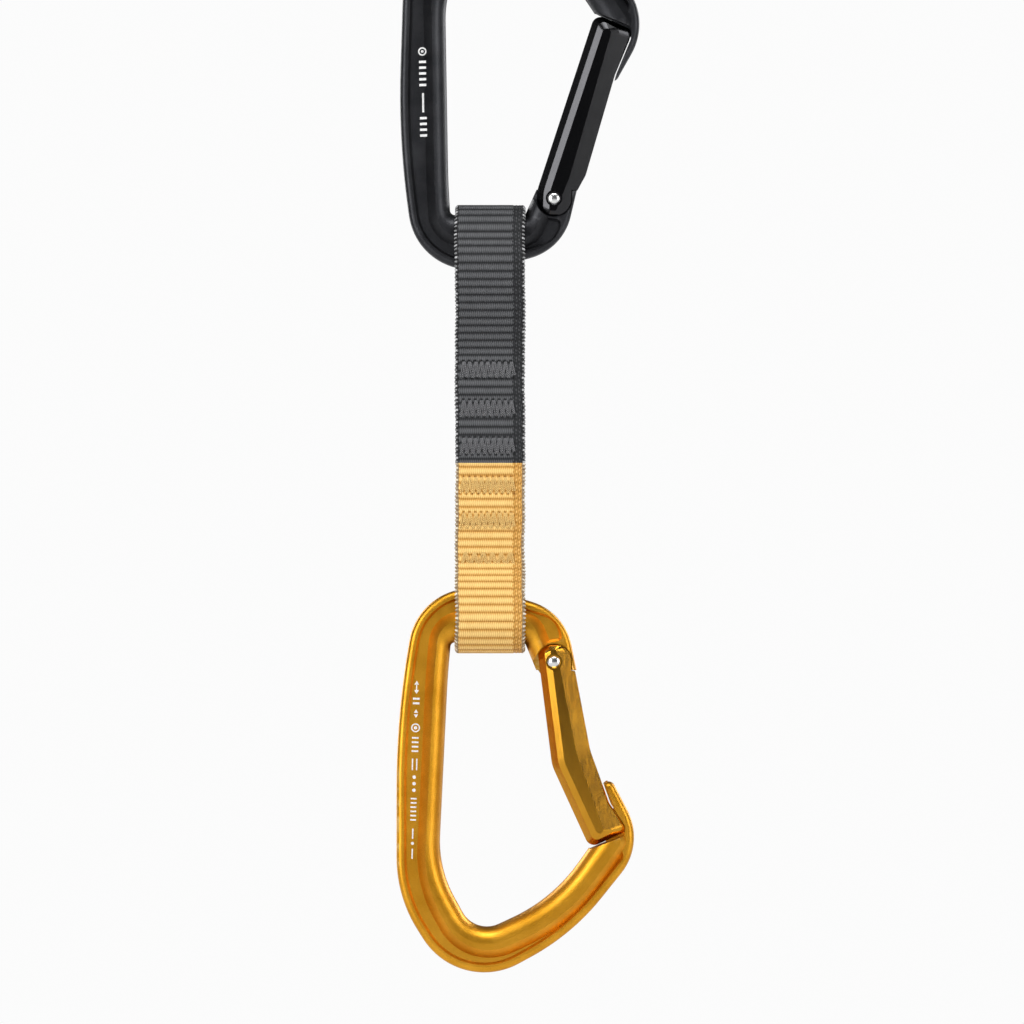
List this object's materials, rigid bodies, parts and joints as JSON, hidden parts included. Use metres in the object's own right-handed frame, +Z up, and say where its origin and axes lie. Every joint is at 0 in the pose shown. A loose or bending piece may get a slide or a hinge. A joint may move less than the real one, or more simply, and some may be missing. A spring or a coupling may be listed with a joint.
{
  "type": "climbing quickdraw",
  "caption": "Climbing quickdraw: a straight-gate and a bent-gate carabiner joined by a sewn flat webbing sling.",
  "frame": {"origin": "inside top of the upper carabiner, where a bolt hanger bears, on the sling's centre line", "axes": "+Z up along the hanging quickdraw, +X from the spines to the gates, front faces -Y"},
  "size_m": [0.0631, 0.0192, 0.2821],
  "materials": {
    "black_satin": "satin anodised",
    "black_gloss": "polished anodised",
    "amber_satin": "satin anodised",
    "amber_gloss": "polished anodised",
    "rivet_steel": "bright",
    "spring_steel": "plain",
    "webbing_charcoal": "woven",
    "webbing_amber": "woven",
    "thread_charcoal": "sewn",
    "thread_amber": "sewn",
    "keeper_rubber": "matte"
  },
  "bodies": {
    "upper_carabiner": {"upper_body": "black_satin"},
    "upper_gate": {"upper_gate": "black_gloss", "upper_rivet": "rivet_steel", "upper_gate_spring": "spring_steel"},
    "upper_plunger": {"upper_plunger": "spring_steel"},
    "sling": {"sling_webbing": "webbing_charcoal", "bar_tack_1": "thread_charcoal", "bar_tack_2": "thread_charcoal", "bar_tack_3": "thread_charcoal", "bar_tack_4": "thread_amber", "bar_tack_5": "thread_amber", "bar_tack_6": "thread_amber", "keeper": "keeper_rubber"},
    "lower_carabiner": {"lower_body": "amber_satin"},
    "lower_gate": {"lower_gate": "amber_gloss", "lower_rivet": "rivet_steel", "lower_gate_spring": "spring_steel"},
    "lower_plunger": {"lower_plunger": "spring_steel"}
  },
  "joints": [
    {"name": "upper_gate_hinge", "type": "hinge", "parent": "upper_carabiner", "child": "upper_gate", "pos_m": [0.0166, 0, -0.06935], "axis": [0, -1, 0], "range_deg": [0, 32], "stiffness_Nm_per_rad": 0.35, "springref_deg": -28.65},
    {"name": "upper_plunger_slide", "type": "slide", "parent": "upper_gate", "child": "upper_plunger", "axis": [0.3223, 0, 0.9466], "range_m": [0, 0.0007], "deforming": ["upper_gate_spring"]},
    {"name": "sling_swing", "type": "hinge", "parent": "upper_carabiner", "child": "sling", "pos_m": [0, 0, -0.07865], "axis": [1, 0, 0], "range_deg": [-30, 30]},
    {"name": "lower_carabiner_swing", "type": "hinge", "parent": "sling", "child": "lower_carabiner", "pos_m": [0, 0, -0.1792], "axis": [1, 0, 0], "range_deg": [-6, 6]},
    {"name": "lower_gate_hinge", "type": "hinge", "parent": "lower_carabiner", "child": "lower_gate", "pos_m": [0.0166, 0, -0.18955], "axis": [0, 1, 0], "range_deg": [0, 32], "stiffness_Nm_per_rad": 0.35, "springref_deg": -28.65},
    {"name": "lower_plunger_slide", "type": "slide", "parent": "lower_gate", "child": "lower_plunger", "axis": [0.165, 0, -0.9863], "range_m": [0, 0.0007], "deforming": ["lower_gate_spring"]}
  ],
  "couplings": [
    {"joint": "upper_plunger_slide", "follows": "upper_gate_hinge", "m_per_rad": 0.0012},
    {"joint": "lower_plunger_slide", "follows": "lower_gate_hinge", "m_per_rad": 0.0012}
  ]
}
